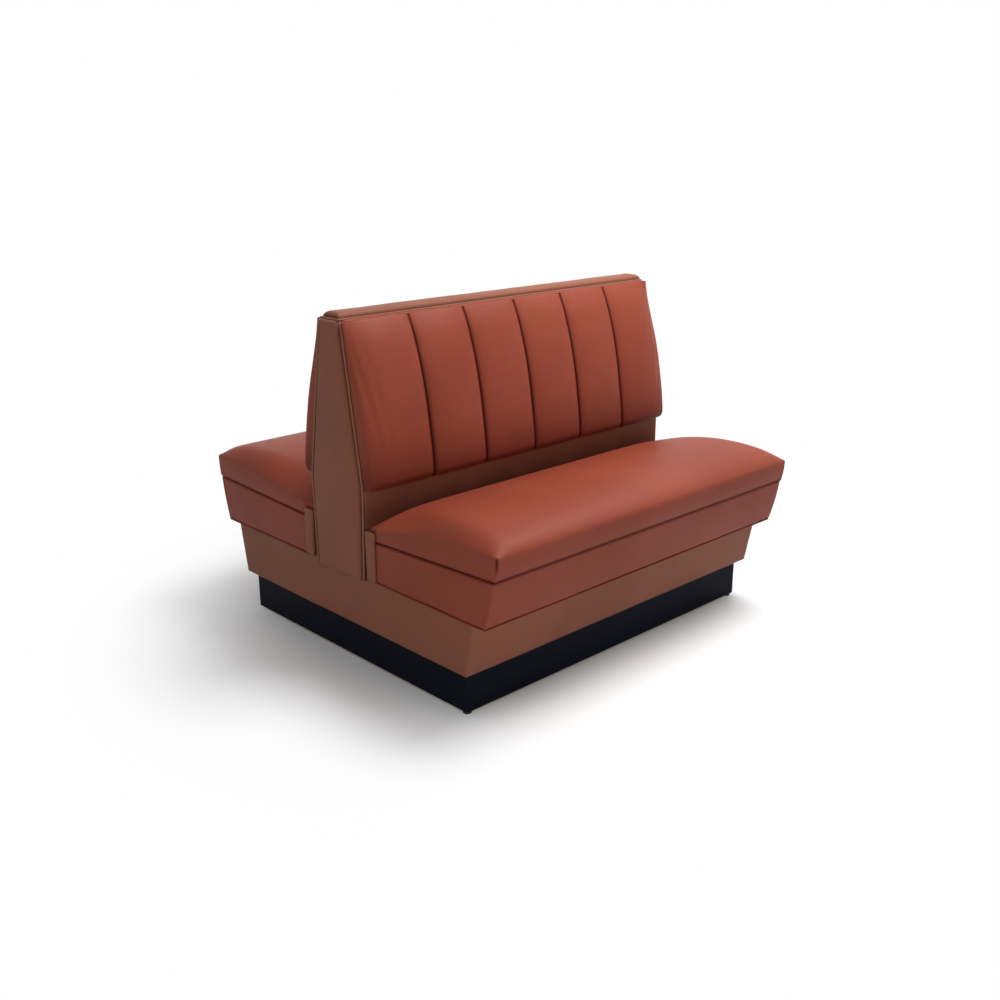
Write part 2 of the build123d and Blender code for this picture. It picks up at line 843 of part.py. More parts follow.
nodes = {
    "kick_rail_front": kick_rail(glide_end_inset_front),
    "kick_rail_rear": rear(kick_rail(glide_end_inset_rear)),
    "kick_rail_left": kick_end_rail(),
    "kick_rail_right": right(kick_end_rail()),
    "kick_braces": kick_braces(),
    "kick_laminate": kick_laminate(),
    "glide_inserts": glide_inserts(),
    "glide_front_left": glide_at(glide_end_inset_front, 0),
    "glide_front_right": glide_at(glide_end_inset_front, 1),
    "glide_rear_left": rear(glide_at(glide_end_inset_rear, 0)),
    "glide_rear_right": rear(glide_at(glide_end_inset_rear, 1)),
    "bottom_deck": bottom_deck(),
    "deck_screws": deck_screws(),
    "end_frame_left": end_frame(),
    "end_frame_right": right(end_frame()),
    "middle_frame": middle_frame(),
    "body_panel_front": body_panel(),
    "body_panel_rear": rear(body_panel()),
    "overhang_boards": pair(overhang_board()),
    "seat_rail_front": seat_rail(),
    "seat_rail_rear": rear(seat_rail()),
    "back_rails": pair(back_rail()),
    "seat_cleats": pair(seat_cleat()),
    "back_board_front": back_board(),
    "back_board_rear": rear(back_board()),
    "top_rail": top_rail(),
    "body_cover_front": body_cover(),
    "body_cover_rear": rear(body_cover()),
    "end_cover_left": end_cover(),
    "end_cover_right": right(end_cover()),
    "apron_front": apron(),
    "apron_rear": rear(apron()),
    "apron_ends_left": pair(apron_end()),
    "apron_ends_right": right(pair(apron_end())),
    "apron_lower_welts": pair(lower_welt()),
    "apron_upper_welts": pair(upper_welt()),
    "end_panel_board_left": end_panel_board(),
    "end_panel_board_right": right(end_panel_board()),
    "end_panel_cover_left": end_panel_cover(),
    "end_panel_cover_right": right(end_panel_cover()),
    "end_panel_welts": ends(end_welt()),
    "end_fillers": ends(filler()),
    "crumb_strip_front": crumb_strip(),
    "crumb_strip_rear": rear(crumb_strip()),
    "cap_board": cap_board(),
    "cap_cover": cap_cover(),
    "cap_welt": cap_welt(),
    "back_pad_board_front": pad_board(),
    "back_pad_board_rear": rear(pad_board()),
    "back_pad_foam_front": pad_foam(),
    "back_pad_foam_rear": rear(pad_foam()),
    "back_pad_cover_front": pad_cover(),
    "back_pad_cover_rear": rear(pad_cover()),
    "pad_screws": pad_screws(),
    "seat_board_front": seat_board(),
    "seat_board_rear": rear(seat_board()),
    "seat_foam_front": seat_foam(),
    "seat_foam_rear": rear(seat_foam()),
    "seat_cover_front": seat_cover(),
    "seat_cover_rear": rear(seat_cover()),
}

os.makedirs("parts", exist_ok=True)
for name, piece in nodes.items():
    export_step(piece, f"parts/{name}.step")
print(len(nodes), "nodes")
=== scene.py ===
import math
import bmesh
import bpy
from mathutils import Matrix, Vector, noise


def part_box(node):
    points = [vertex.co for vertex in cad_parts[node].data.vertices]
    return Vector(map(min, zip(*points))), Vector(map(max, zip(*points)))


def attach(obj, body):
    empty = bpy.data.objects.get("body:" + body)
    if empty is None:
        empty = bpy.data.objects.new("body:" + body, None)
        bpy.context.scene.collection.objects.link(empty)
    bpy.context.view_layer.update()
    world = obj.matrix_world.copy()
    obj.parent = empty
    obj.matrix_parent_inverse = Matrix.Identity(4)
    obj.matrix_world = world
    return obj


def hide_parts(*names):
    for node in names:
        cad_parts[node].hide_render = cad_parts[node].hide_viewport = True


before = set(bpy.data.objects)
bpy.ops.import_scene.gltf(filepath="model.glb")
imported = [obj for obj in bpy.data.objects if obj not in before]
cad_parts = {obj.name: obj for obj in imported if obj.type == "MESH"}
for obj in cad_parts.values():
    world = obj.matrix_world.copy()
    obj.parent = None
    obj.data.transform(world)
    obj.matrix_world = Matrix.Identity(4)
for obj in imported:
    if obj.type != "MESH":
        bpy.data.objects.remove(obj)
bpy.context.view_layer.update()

# The kick base. Softwood rails are nailed into a box, and black laminate is glued on
# their outside. It is recessed, so that shoes go under the body.


class Shade:
    """A number that changes over a surface, and can be added, multiplied and so on."""

    def __init__(self, finish, socket):
        self.finish = finish
        self.socket = socket

    def join(self, operation, first, second):
        return self.finish.node("Math", {"operation": operation}, {0: first, 1: second}).shade("Value")

    def __add__(self, other):
        return self.join("ADD", self, other)

    def __radd__(self, other):
        return self.join("ADD", other, self)

    def __sub__(self, other):
        return self.join("SUBTRACT", self, other)

    def __rsub__(self, other):
        return self.join("SUBTRACT", other, self)

    def __mul__(self, other):
        return self.join("MULTIPLY", self, other)

    def __rmul__(self, other):
        return self.join("MULTIPLY", other, self)

    def __gt__(self, other):
        return self.join("GREATER_THAN", self, other)

    def wave(self):
        return self.finish.node("Math", {"operation": "SINE"}, {0: self}).shade("Value")

    def between(self, low, high):
        """0 where this is under low and 1 where it is over high, with a soft step between."""
        settings = {"interpolation_type": "SMOOTHSTEP"}
        step = self.finish.node("MapRange", settings, {"Value": self, "From Min": low, "From Max": high})
        return step.shade("Result")


class Step:
    """One node of a finish."""

    def __init__(self, finish, made):
        self.finish = finish
        self.made = made

    def shade(self, name):
        return Shade(self.finish, self.made.outputs[name])


class Finish:
    """A material that is mixed from nodes. The values given stand on the shader itself."""

    def __init__(self, name, **shader):
        self.material = bpy.data.materials.new(name)
        self.material.use_nodes = True
        self.tree = self.material.node_tree
        self.shader = self.tree.nodes["Principled BSDF"]
        for word, value in shader.items():
            self.shader.inputs[word.replace("_", " ").title().replace("Ior", "IOR")].default_value = value

    def node(self, kind, settings=None, sockets=None):
        made = self.tree.nodes.new("ShaderNode" + kind)
        for word, value in (settings or {}).items():
            setattr(made, word, value)
        for name, value in (sockets or {}).items():
            if isinstance(value, Shade):
                self.tree.links.new(value.socket, made.inputs[name])
            else:
                made.inputs[name].default_value = value
        return Step(self, made)

    def here(self):
        """Where a point lies on the piece, in metres."""
        return self.node("TexCoord").shade("Object")

    def place(self, stretch=(1, 1, 1)):
        """The same, stretched for a pattern."""
        return self.node("Mapping", sockets={"Vector": self.here(), "Scale": stretch}).shade("Vector")

    def along(self, axis, vector):
        """How far a vector goes along one axis."""
        return self.node("SeparateXYZ", sockets={"Vector": vector}).shade(axis.upper())

    def cloud(self, size, place, detail=2.0, roughness=0.5):
        """Soft patches of about one size, in metres, from 0 to 1."""
        sockets = {"Vector": place, "Scale": 1 / size, "Detail": detail, "Roughness": roughness}
        return self.node("TexNoise", sockets=sockets).shade("Fac")

    def blend(self, amount, first, second):
        """One colour turning into another."""
        return self.node("Mix", {"data_type": "RGBA"}, {0: amount, 6: first, 7: second}).shade(2)

    def feed(self, name, value):
        self.tree.links.new(value.socket, self.shader.inputs[name])

    def relief(self, height, depth, strength=1.0):
        """Fine relief of a real depth, in metres."""
        sockets = {"Height": height, "Distance": depth, "Strength": strength}
        self.feed("Normal", self.node("Bump", sockets=sockets).shade("Normal"))


def tone(red, green, blue):
    return (red, green, blue, 1.0)


def grain(axis, stretch):
    """Draws a pattern out along one axis, as wood does."""
    return [stretch if letter == axis else 1.0 for letter in "xyz"]


def softwood(name, grain_axis):
    """Planed softwood: long growth rings and fine fibres along the piece."""
    early_wood, late_wood = tone(0.62, 0.43, 0.24), tone(0.42, 0.25, 0.11)
    finish = Finish(name, roughness=0.62)
    place = finish.place(grain(grain_axis, 0.06))
    rings = finish.cloud(0.012, place, detail=3.0)
    fibres = finish.cloud(0.0015, place)
    dark = rings.between(0.45, 0.62) * 0.6 + fibres * 0.25
    finish.feed("Base Color", finish.blend(dark, early_wood, late_wood))
    finish.relief(fibres + rings * 0.5, depth=0.0003)
    return finish.material


def dress(names, material):
    """Gives solids that keep their shape their real finish."""
    for name in names:
        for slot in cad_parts[name].material_slots:
            slot.material = material


long_rails = ["kick_rail_front", "kick_rail_rear", "back_rails", "seat_cleats", "top_rail", "cap_board"]
dress(long_rails, softwood("softwood_long", grain_axis="x"))
dress(["kick_rail_left", "kick_rail_right", "kick_braces"], softwood("softwood_cross", grain_axis="y"))

laminate = Finish("black_laminate", roughness=0.3, specular_ior_level=0.025)
clean_laminate, scuffed_laminate = tone(0.005, 0.006, 0.012), tone(0.011, 0.0125, 0.021)
along_the_floor = laminate.place((1, 1, 6))
scuffs = laminate.cloud(0.05, along_the_floor, detail=4.0, roughness=0.65).between(0.58, 0.75)
pebble = laminate.cloud(0.0011, laminate.place(), detail=1.0)
laminate.feed("Base Color", laminate.blend(scuffs * 0.5, clean_laminate, scuffed_laminate))
laminate.feed("Roughness", 0.26 + scuffs * 0.16 + pebble * 0.08)
laminate.relief(pebble, depth=0.00006)
dress(["kick_laminate"], laminate.material)

# The levelling glides. A black nylon foot is moulded round the head of a zinc-plated
# stem, which screws into a steel insert that is pressed into the rail.

glide_foot_top = 0.0051
nylon_tone, steel_tone = tone(0.012, 0.012, 0.013), tone(0.5, 0.5, 0.51)
glide_finish = Finish("glide_nylon_and_zinc", roughness=0.42)
is_steel = glide_finish.along("z", glide_finish.here()) > glide_foot_top
turned = glide_finish.cloud(0.0006, glide_finish.place((1, 1, 0.2)))
glide_finish.feed("Base Color", glide_finish.blend(is_steel, nylon_tone, steel_tone))
glide_finish.feed("Metallic", is_steel)
glide_finish.feed("Roughness", 0.5 - is_steel * 0.18 + turned * 0.12)
glide_finish.relief(turned, depth=0.00004)
dress(["glide_front_left", "glide_front_right", "glide_rear_left", "glide_rear_right"], glide_finish.material)

zinc = Finish("zinc_plate", metallic=1.0)
spangle = zinc.cloud(0.002, zinc.place(), detail=3.0)
zinc.feed("Base Color", zinc.blend(spangle, tone(0.45, 0.45, 0.46), tone(0.62, 0.61, 0.58)))
zinc.feed("Roughness", 0.3 + spangle * 0.2)
dress(["glide_inserts", "deck_screws", "pad_screws"], zinc.material)

# The carcass. Plywood end frames, a divider, a floor and leaning boards are glued and
# screwed together. It shows only from below and where a seat is lifted off.


def plywood(name, thickness_axis, grain_axis):
    """Sanded plywood: a faint face grain, and thin plies that show on the cut edges."""
    ply = 0.0015
    face_wood, dark_wood = tone(0.66, 0.48, 0.29), tone(0.40, 0.24, 0.12)
    finish = Finish(name, roughness=0.6)
    place = finish.place(grain(grain_axis, 0.08))
    face = finish.cloud(0.02, place, detail=4.0, roughness=0.6)
    fibres = finish.cloud(0.0012, place)
    across = finish.along(thickness_axis, finish.here())
    plies = (across * (math.pi / ply)).wave().between(-0.2, 0.2)
    lean = finish.along(thickness_axis, finish.node("NewGeometry").shade("Normal"))
    on_edge = 1 - (lean * lean).between(0.3, 0.6)
    dark = face.between(0.4, 0.7) * 0.35 + fibres * 0.2 + on_edge * plies * 0.5
    finish.feed("Base Color", finish.blend(dark, face_wood, dark_wood))
    finish.relief(fibres, depth=0.0002)
    return finish.material


frames = ["end_frame_left", "end_frame_right", "middle_frame"]
dress(frames, plywood("plywood_frames", thickness_axis="x", grain_axis="z"))
flat_boards = ["bottom_deck", "overhang_boards", "seat_board_front", "seat_board_rear"]
dress(flat_boards, plywood("plywood_flat", thickness_axis="z", grain_axis="x"))
upright_boards = ["body_panel_front", "body_panel_rear", "seat_rail_front", "seat_rail_rear"]
upright_boards += ["back_board_front", "back_board_rear", "back_pad_board_front", "back_pad_board_rear"]
dress(upright_boards, plywood("plywood_upright", thickness_axis="y", grain_axis="x"))
end_boards = ["end_panel_board_left", "end_panel_board_right"]
dress(end_boards, plywood("plywood_end_panels", thickness_axis="x", grain_axis="z"))

# The brown vinyl of the body. One length is stretched round the leaning fronts and the
# ends, folded under the lower edge and stapled there. It is soft along every edge.


def vinyl(name, tones, roughness, wear_and_highlight=0.3):
    """Upholstery vinyl: a pebbled grain and soft patches of tone, crests lightened for wear and as a painted
    highlight, painted shade in its valleys, and painted shade where seams and gaps are marked.
    """
    deep, middle, lit = tones
    pebbles_per_metre = 820.0
    finish = Finish(name, specular_ior_level=0.10)
    place = finish.place()
    wander = finish.cloud(0.006, place)
    cells = finish.node(
        "TexVoronoi", {"feature": "DISTANCE_TO_EDGE"}, {"Vector": place, "Scale": pebbles_per_metre}
    )
    pebbles = (cells.shade("Distance") * (0.7 + wander * 0.6)).between(0.02, 0.26)
    pores = finish.cloud(0.0004, place, detail=1.0)
    drift = finish.cloud(0.32, place).between(0.3, 0.7)
    mottle = finish.cloud(0.022, place, detail=3.0, roughness=0.6)
    bend = finish.node("NewGeometry").shade("Pointiness")
    crest = bend.between(0.502, 0.56)
    valley = 1 - bend.between(0.42, 0.496)
    base = finish.blend(drift * 0.55 + mottle * 0.3 + pebbles * 0.15, deep, middle)
    # Convex crests blend towards the lit tone: partly wear, partly a painted highlight where edges catch the
    # light.
    worn_and_highlit = finish.blend(crest * wear_and_highlight * (0.7 + mottle * 0.6), base, lit)
    # Hollows blend towards a shaded copy of the deep tone: painted shade in valleys and creases, with the
    # grain's pebble edges a little darker too.
    shaded = tone(*[part * 0.35 for part in deep[:3]])
    grain_and_valley_shade = finish.blend(valley * 0.55 + (1 - pebbles) * 0.12, worn_and_highlit, shaded)
    # Points marked by paint_shade_mark blend towards a near-black red: painted shade in seams, gaps and the
    # lower parts of some pieces. The mark also makes the vinyl duller.
    seam_shade = finish.node("Attribute", {"attribute_name": "seam"}).shade("Fac")
    seam_shade_tone = tone(deep[0] * 0.22, deep[1] * 0.06, deep[2] * 0.05)
    finish.feed("Base Color", finish.blend(seam_shade, grain_and_valley_shade, seam_shade_tone))
    dull = (1 - pebbles) * 0.08 + seam_shade * 0.35
    finish.feed("Roughness", roughness - 0.035 + mottle * 0.07 - crest * 0.06 + dull)
    finish.relief(pebbles * 0.8 + pores * 0.2, depth=0.00016, strength=0.7)
    return finish.material


brown_tones = tone(0.210, 0.073, 0.042), tone(0.265, 0.093, 0.054), tone(0.30, 0.120, 0.077)
brown = vinyl("brown_vinyl", brown_tones, roughness=0.46, wear_and_highlight=0.08)
red_tones = tone(0.215, 0.041, 0.021), tone(0.275, 0.057, 0.030), tone(0.36, 0.088, 0.050)
red = vinyl("red_vinyl", red_tones, roughness=0.38)


def block(low, high):
    """A closed block between two corners."""
    form = bmesh.new()
    bmesh.ops.create_cube(form, size=1)
    low, high = Vector(low), Vector(high)
    bmesh.ops.scale(form, vec=high - low, verts=form.verts)
    bmesh.ops.translate(form, vec=(low + high) / 2, verts=form.verts)
    return form


def edges_where(form, test):
    """The edges whose two ends both pass a test."""
    return [edge for edge in form.edges if all(test(end.co) for end in edge.verts)]


def round_over(form, edges, radius, steps):
    """Rounds edges, as padding under a stretched cover does."""
    bmesh.ops.bevel(
        form, geom=edges, offset=radius, segments=steps, profile=0.5, affect="EDGES", material=-1
    )


def whole(form):
    """All of a form, for a tool that works on every part of it."""
    return form.verts[:] + form.edges[:] + form.faces[:]


def span(form, axis):
    """Lowest and highest place of a form along one axis."""
    places = [point.co["xyz".index(axis)] for point in form.verts]
    return min(places), max(places)


def saw(form, axis, places):
    """Cuts a form at given places along one axis."""
    away = Vector([float(letter == axis) for letter in "xyz"])
    for place in places:
        bmesh.ops.bisect_plane(form, geom=whole(form), dist=1e-6, plane_co=away * place, plane_no=away)


def dice(form, pitch):
    """Cuts a form into cells of about one pitch, so that it can take a soft shape."""
    for axis in "xyz":
        low, high = span(form, axis)
        steps = max(1, round((high - low) / pitch))
        saw(form, axis, [low + (high - low) * step / steps for step in range(1, steps)])


def soften(form, height, size, seed):
    """Small slack waves in a stretched cover, in and out along its own faces."""
    smoothness, narrowing, octaves = 1.0, 2.0, 3
    form.normal_update()
    moves = []
    for point in form.verts:
        place = point.co / size + Vector((seed, 0, 0))
        wave = noise.fractal(place, smoothness, narrowing, octaves)
        moves.append(point.normal * wave * height)
    for point, move in zip(form.verts, moves):
        point.co += move


def in_order(form):
    """Numbers a form's points, edges and faces by their place, so that each run gives the same mesh."""
    for i, point in enumerate(sorted(form.verts, key=lambda point: tuple(point.co))):
        point.index = i
    form.verts.sort()
    for parts in (form.edges, form.faces):
        for i, part in enumerate(sorted(parts, key=lambda part: sorted(end.index for end in part.verts))):
            part.index = i
        parts.sort()


def piece(name, form, material, body, replaced):
    """Makes a form a piece of the booth, shaded smooth, on the body that carries it."""
    bmesh.ops.recalc_face_normals(form, faces=form.faces)
    in_order(form)
    mesh = bpy.data.meshes.new(name)
    form.to_mesh(mesh)
    form.free()
    mesh.materials.append(material)
    mesh.shade_smooth()
    made = bpy.data.objects.new(name, mesh)
    bpy.context.scene.collection.objects.link(made)
    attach(made, body)
    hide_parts(*replaced)
    return made


panel_low, panel_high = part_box("body_cover_front")
panel_cover = 0.0015
body_depth = -panel_low.y
body_lean = body_depth + panel_high.y - panel_cover
body_skin = 0.0012
body_vinyl_thickness = 0.0006
turned_under = 0.019
body_form = block(
    (panel_low.x - body_skin, -body_depth - body_skin, panel_low.z - body_skin),
    (-panel_low.x + body_skin, body_depth + body_skin, panel_high.z),
)
for point in body_form.verts:
    if point.co.z < (panel_low.z + panel_high.z) / 2:
        point.co.y -= math.copysign(body_lean, point.co.y)
body_foot = edges_where(body_form, lambda at: at.z < panel_low.z + 0.001)
round_over(body_form, body_foot, radius=0.004, steps=4)
body_corners = [edge for edge in body_form.edges if abs(edge.verts[0].co.z - edge.verts[1].co.z) > 0.1]
round_over(body_form, body_corners, radius=0.0045, steps=4)
dice(body_form, pitch=0.014)
bmesh.ops.remove_doubles(body_form, verts=body_form.verts, dist=2e-4)
soften(body_form, height=0.0009, size=0.16, seed=3)
body_top = [face for face in body_form.faces if face.calc_center_median().z > panel_high.z - 0.002]
bmesh.ops.delete(body_form, geom=body_top, context="FACES")
body_underside = [
    face for face in body_form.faces
    if face.normal.z < -0.9
    and abs(face.calc_center_median().x) < -panel_low.x - turned_under
    and abs(face.calc_center_median().y) < body_depth - body_lean - turned_under
]
bmesh.ops.delete(body_form, geom=body_underside, context="FACES")
bmesh.ops.solidify(body_form, geom=body_form.faces[:], thickness=body_vinyl_thickness)
body_nodes = ["body_cover_front", "body_cover_rear"]
piece("body_vinyl", body_form, brown, "carcass", body_nodes)
dress(["end_cover_left", "end_cover_right"], brown)

# The aprons of the seat boxes. Red vinyl over a thin foam is wrapped round boards and
# stapled inside. The front apron laps the corners, where the end aprons meet it in a seam.

board_low, board_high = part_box("seat_board_front")
seat_board_thickness = 0.009
seat_slope = (board_high.z - seat_board_thickness - board_low.z) / (board_high.y - board_low.y)
seat_tilt = Vector((0, seat_slope, 1)).normalized()


def seat_height(depth):
    """Height of the pitched plane that the front seat's board rests on."""
    return board_low.z + seat_slope * (depth + board_high.y)


def slice_off(form, place, away):
    """Saws a form along a plane and closes the cut. What lies on the side of away is waste."""
    cut = bmesh.ops.bisect_plane(
        form, geom=whole(form), dist=1e-7, plane_co=place, plane_no=away, clear_outer=True
    )
    rim = [part for part in cut["geom_cut"] if isinstance(part, bmesh.types.BMEdge)]
    bmesh.ops.edgenet_fill(form, edges=rim)


def paint_shade_mark(made, gap, reach, strength=1.0):
    """Marks painted shade on the vinyl along a seam, corner, gap or foot, where the material darkens it and
    makes it duller.
    """
    if "seam" not in made.data.attributes:
        made.data.attributes.new("seam", "FLOAT", "POINT")
    for point, shade in zip(made.data.vertices, made.data.attributes["seam"].data):
        nearness = min(1.0, max(0.0, 1.2 - gap(point.co) / reach))
        shade.value = max(shade.value, strength * nearness**1.5)


def swell(form, along, amount, across):
    """Fills out the face that looks one way, most in its middle."""
    form.normal_update()
    along = Vector(along)
    spans = {axis: span(form, axis) for axis in across}
    moves = []
    for point in form.verts:
        share = min(1.0, max(0.0, point.normal.dot(along)))
        for axis, (low, high) in spans.items():
            place = (point.co["xyz".index(axis)] - low) / (high - low)
            share *= 1 - abs(place * 2 - 1) ** 2
        moves.append(along * amount * share)
    for point, move in zip(form.verts, moves):
        point.co += move


def twin(form, axis):
    """Adds the same solid on the other side of the middle."""
    bmesh.ops.mirror(form, geom=whole(form), axis=axis.upper(), merge_dist=-1)


def opposite(source, name, axis, body, replaced):
    """The same piece on the other side of the booth, turned right side out again."""
    form = bmesh.new()
    form.from_mesh(source.data)
    flip = Vector([-1.0 if letter == axis else 1.0 for letter in "xyz"])
    bmesh.ops.scale(form, vec=flip, verts=form.verts)
    return piece(name, form, source.data.materials[0], body, replaced)


apron_low, apron_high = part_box("apron_front")
apron_thick = 0.0065
apron_foot_depth = apron_thick - apron_high.y
apron_lean = (-apron_low.y - apron_foot_depth) / (apron_high.z - apron_low.z)
apron_form = block((apron_low.x, -apron_foot_depth, apron_low.z), apron_high)
apron_front_edges = edges_where(apron_form, lambda at: at.y < -apron_foot_depth + 0.001)
round_over(apron_form, apron_front_edges, radius=0.0035, steps=4)
dice(apron_form, pitch=0.012)
swell(apron_form, (0, -1, 0), amount=0.0028, across="z")
for point in apron_form.verts:
    point.co.y -= apron_lean * (point.co.z - apron_low.z)
soften(apron_form, height=0.0009, size=0.12, seed=11)
apron_front = piece("apron_front_vinyl", apron_form, red, "carcass", ["apron_front"])
apron_rear = opposite(apron_front, "apron_rear_vinyl", "y", "carcass", ["apron_rear"])

end_low, end_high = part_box("apron_ends_left")
filler_depth = 0.148
end_form = block((end_low.x, end_low.y, end_low.z), (end_high.x, -filler_depth, end_high.z))
head_drop = seat_height(-apron_low.y) - apron_high.z
slice_off(end_form, (0, 0, seat_height(0) - head_drop), seat_tilt)
slice_off(end_form, (0, apron_high.y, apron_low.z), Vector((0, -1, -apron_lean)))
end_face_edges = edges_where(end_form, lambda at: at.x < end_low.x + 0.001)
round_over(end_form, end_face_edges, radius=0.0025, steps=4)
dice(end_form, pitch=0.012)
saw(end_form, "y", [-filler_depth - 0.0045])
swell(end_form, (-1, 0, 0), amount=0.0030, across="yz")
soften(end_form, height=0.0009, size=0.12, seed=17)
twin(end_form, "y")
apron_ends_left = piece(
    "apron_ends_left_vinyl", end_form, red, "carcass", ["apron_ends_left"]
)
# Painted shade along the end apron's rear edge, in the gap beside the proud filler.
paint_shade_mark(apron_ends_left, lambda at: max(0.0, abs(at.y) - filler_depth - 0.002), reach=0.0020)
apron_ends_right = opposite(
    apron_ends_left, "apron_ends_right_vinyl", "x", "carcass", ["apron_ends_right"]
)

# The welts of the aprons. A dark one hangs under the apron's foot, and a red one lies
# along its head, just under the cushion. Each is vinyl sewn round a cord.

dark_welt_tones = tone(0.12, 0.010, 0.004), tone(0.16, 0.014, 0.006), tone(0.20, 0.022, 0.012)
dark_welt = vinyl("dark_welt", dark_welt_tones, roughness=0.42)
red_welt_tones = tone(0.13, 0.011, 0.005), tone(0.17, 0.016, 0.008), tone(0.22, 0.028, 0.016)
red_welt = vinyl("red_welt", red_welt_tones, roughness=0.42)


def piping(routes, radius, bend, closed=False):
    """Cords along routes, which turn softly at each of their corners."""
    line = bpy.data.curves.new("cord", "CURVE")
    line.dimensions = "3D"
    line.bevel_depth = radius
    line.bevel_resolution = 3
    line.resolution_u = 6
    line.use_fill_caps = True
    for route in routes:
        stops = [Vector(stop) for stop in route]
        if closed:
            stops = [stops[-1]] + stops + [stops[0]]
        places = [] if closed else [stops[0]]
        for before, corner, after in zip(stops, stops[1:], stops[2:]):
            places.append(corner + (before - corner).normalized() * bend)
            places.append(corner)
            places.append(corner + (after - corner).normalized() * bend)
        if not closed:
            places.append(stops[-1])
        run = line.splines.new("NURBS")
        run.points.add(len(places) - 1)
        for point, place in zip(run.points, places):
            point.co = (*place, 1)
        run.use_cyclic_u = closed
        run.use_endpoint_u = not closed
        run.order_u = 3
    holder = bpy.data.objects.new("cord", line)
    form = bmesh.new()
    form.from_mesh(bpy.data.meshes.new_from_object(holder))
    bpy.data.objects.remove(holder)
    bpy.data.curves.remove(line)
    bmesh.ops.remove_doubles(form, verts=form.verts, dist=1e-6)
    return form


def both_benches(route):
    """A route round the front bench, and the same one round the rear bench."""
    return [route, [(x, -y, z) for x, y, z in route]]


lower_radius = 0.0025
lower_stand = 0.0025
body_end = -panel_low.x
lower_x = body_end + lower_radius + lower_stand
lower_y = apron_foot_depth - lower_radius
lower_z = apron_low.z - lower_radius
lower_route = [
    (-lower_x, -filler_depth, lower_z), (-lower_x, -lower_y, lower_z),
    (lower_x, -lower_y, lower_z), (lower_x, -filler_depth, lower_z),
]
lower_form = piping(both_benches(lower_route), lower_radius, bend=0.010)
piece("apron_lower_piping", lower_form, dark_welt, "carcass", ["apron_lower_welts"])

upper_radius = 0.0020
upper_end_stand = 0.0008
upper_front_stand = 0.0012
upper_x = -apron_low.x - upper_radius + upper_end_stand
upper_y = -apron_low.y - upper_radius + upper_front_stand


def upper_stop(x, y):
    return (x, y, seat_height(abs(y)) - upper_radius)


upper_route = [
    upper_stop(-upper_x, -filler_depth), upper_stop(-upper_x, -upper_y),
    upper_stop(upper_x, -upper_y), upper_stop(upper_x, -filler_depth),
]
upper_form = piping(both_benches(upper_route), upper_radius, bend=0.008)
piece("apron_upper_piping", upper_form, red_welt, "carcass", ["apron_upper_welts"])

# The end panels. A thin foam and brown vinyl are wrapped round an A-shaped board, which
# is fixed over the end frame from inside. Piping runs down each side of it.

panel_box_low, panel_box_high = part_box("end_panel_cover_left")
panel_knee_depth = panel_box_high.y
panel_head_depth = 0.032
panel_foot_depth = 0.088
pad_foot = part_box("back_pad_cover_front")[0].z
panel_form = block(panel_box_low, panel_box_high)
upper_lean = (panel_knee_depth - panel_head_depth) / (panel_box_high.z - pad_foot)
lower_lean = (panel_knee_depth - panel_foot_depth) / (pad_foot - panel_box_low.z)
for side in (-1, 1):
    slice_off(panel_form, (0, side * panel_knee_depth, pad_foot), Vector((0, side, upper_lean)))
    slice_off(panel_form, (0, side * panel_knee_depth, pad_foot), Vector((0, side, -lower_lean)))
panel_face_edges = edges_where(panel_form, lambda at: at.x < panel_box_low.x + 0.001)
round_over(panel_form, panel_face_edges, radius=0.008, steps=5)
dice(panel_form, pitch=0.010)
swell(panel_form, (-1, 0, 0), amount=0.0025, across="y")
soften(panel_form, height=0.0010, size=0.14, seed=23)
end_panel_left = piece(
    "end_panel_left_vinyl", panel_form, brown, "carcass", ["end_panel_cover_left"]
)
end_panel_right = opposite(
    end_panel_left, "end_panel_right_vinyl", "x", "carcass", ["end_panel_cover_right"]
)

brown_welt_tones = tone(0.215, 0.088, 0.056), tone(0.265, 0.112, 0.072), tone(0.36, 0.17, 0.115)
brown_welt = vinyl("brown_welt", brown_welt_tones, roughness=0.44)


def join(form, added):
    """Adds a second form to a form."""
    carrier = bpy.data.meshes.new("carrier")
    added.to_mesh(carrier)
    added.free()
    form.from_mesh(carrier)
    bpy.data.meshes.remove(carrier)


welt_stand = 0.007
end_welt_radius = 0.003
welt_gap = 0.010
tail_thickness = 0.0016
side_routes = []
for end in (-1, 1):
    for side in (-1, 1):
        x = end * (body_end + welt_stand)
        side_routes.append([
            (x, side * (panel_head_depth + welt_gap), panel_box_high.z),
            (x, side * (panel_knee_depth + welt_gap), pad_foot),
            (x, side * (panel_foot_depth + welt_gap), panel_box_low.z),
        ])
side_form = piping(side_routes, end_welt_radius, bend=0.030)
for route in side_routes:
    tail = bmesh.new()
    stops = [tail.verts.new(stop) for stop in route]
    runs = [tail.edges.new(pair) for pair in zip(stops, stops[1:])]
    pulled = bmesh.ops.extrude_edge_only(tail, edges=runs)
    inner = [part for part in pulled["geom"] if isinstance(part, bmesh.types.BMVert)]
    bmesh.ops.translate(tail, vec=(-math.copysign(welt_stand, route[0][0]), 0, 0), verts=inner)
    bmesh.ops.solidify(tail, geom=tail.faces[:], thickness=tail_thickness)
    join(side_form, tail)
side_piping = piece(
    "end_panel_piping", side_form, brown_welt, "carcass", ["end_panel_welts"]
)
tail_reach = body_end + welt_stand - end_welt_radius * 0.6
# Painted shade on the flat tail of the panel piping and the inner half of its cord, in the recess between
# panel and cord.
paint_shade_mark(side_piping, lambda at: max(0.0, abs(at.x) - tail_reach), reach=0.0012)

# The filler strips beside the piping, and the crumb strips between cushion and back.
# Both are brown vinyl wrapped round thin boards.

